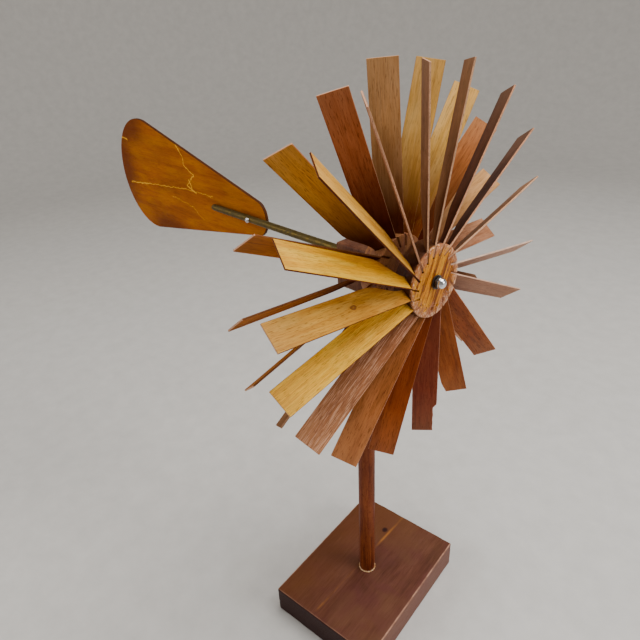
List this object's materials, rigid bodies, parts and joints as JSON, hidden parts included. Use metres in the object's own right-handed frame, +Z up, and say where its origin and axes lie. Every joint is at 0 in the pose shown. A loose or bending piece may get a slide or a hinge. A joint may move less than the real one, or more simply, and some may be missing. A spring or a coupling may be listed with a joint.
{
  "type": "kinetic wind sculpture",
  "caption": "Wooden wind sculpture on a stand: two counter-turning slat rotors on one axle, with a tail vane that swings the head into the wind.",
  "frame": {"origin": "middle of the base block's underside, on the post's axis", "axes": "+Z up along the post; +Y along the base block's long side; +X across it, the side that the nut end of the axle faces, with the head resting 7 degrees clockwise of +X seen from above"},
  "size_m": [0.571, 0.346, 0.6372],
  "materials": {
    "stained_pine": "satin stain",
    "post_wood": "satin stain",
    "glue": "dried wood glue",
    "block_wood": "satin stain",
    "hub_wood": "satin varnish",
    "slat_red": "satin varnish",
    "slat_gold": "satin varnish",
    "vane_wood": "satin varnish",
    "brass": "dull patina",
    "steel": "bright",
    "chrome": "polished"
  },
  "bodies": {
    "stand": {"base_block": "stained_pine", "post": "post_wood", "foot_glue_bead": "glue", "pivot_pin": "steel", "lower_thrust_washer": "brass"},
    "head": {"head_block": "block_wood", "pivot_sleeve": "brass", "upper_thrust_washer": "brass", "axle": "steel", "rear_spacer": "brass", "middle_spacer": "brass", "nut_washer": "steel", "acorn_nut": "chrome", "tail_boom": "brass", "tail_vane": "vane_wood", "vane_screw": "steel", "vane_nut": "steel"},
    "rear_rotor": {"rear_hub": "hub_wood", "rear_sleeve": "brass", "rear_blade_01": "slat_red", "rear_blade_02": "slat_red", "rear_blade_03": "slat_red", "rear_blade_04": "slat_red", "rear_blade_05": "slat_red", "rear_blade_06": "slat_red", "rear_blade_07": "slat_red", "rear_blade_08": "slat_red", "rear_blade_09": "slat_red", "rear_blade_10": "slat_red", "rear_blade_11": "slat_red", "rear_blade_12": "slat_red", "rear_blade_13": "slat_gold", "rear_blade_14": "slat_gold", "rear_blade_15": "slat_gold", "rear_blade_16": "slat_gold", "rear_blade_17": "slat_gold", "rear_blade_18": "slat_gold"},
    "front_rotor": {"front_hub": "hub_wood", "front_sleeve": "brass", "front_blade_01": "slat_red", "front_blade_02": "slat_red", "front_blade_03": "slat_red", "front_blade_04": "slat_red", "front_blade_05": "slat_red", "front_blade_06": "slat_red", "front_blade_07": "slat_red", "front_blade_08": "slat_red", "front_blade_09": "slat_red", "front_blade_10": "slat_red", "front_blade_11": "slat_red", "front_blade_12": "slat_red", "front_blade_13": "slat_gold", "front_blade_14": "slat_gold", "front_blade_15": "slat_gold", "front_blade_16": "slat_gold", "front_blade_17": "slat_gold", "front_blade_18": "slat_gold"}
  },
  "joints": [
    {"name": "head_swivel", "type": "hinge", "parent": "stand", "child": "head", "pos_m": [0, 0, 0.4345], "axis": [0, 0, 1], "continuous": true},
    {"name": "rear_rotor_spin", "type": "hinge", "parent": "head", "child": "rear_rotor", "pos_m": [0.03176, -0.0039, 0.466], "axis": [0.9925, -0.1219, 0], "continuous": true},
    {"name": "front_rotor_spin", "type": "hinge", "parent": "head", "child": "front_rotor", "pos_m": [0.06849, -0.00841, 0.466], "axis": [0.9925, -0.1219, 0], "continuous": true}
  ]
}
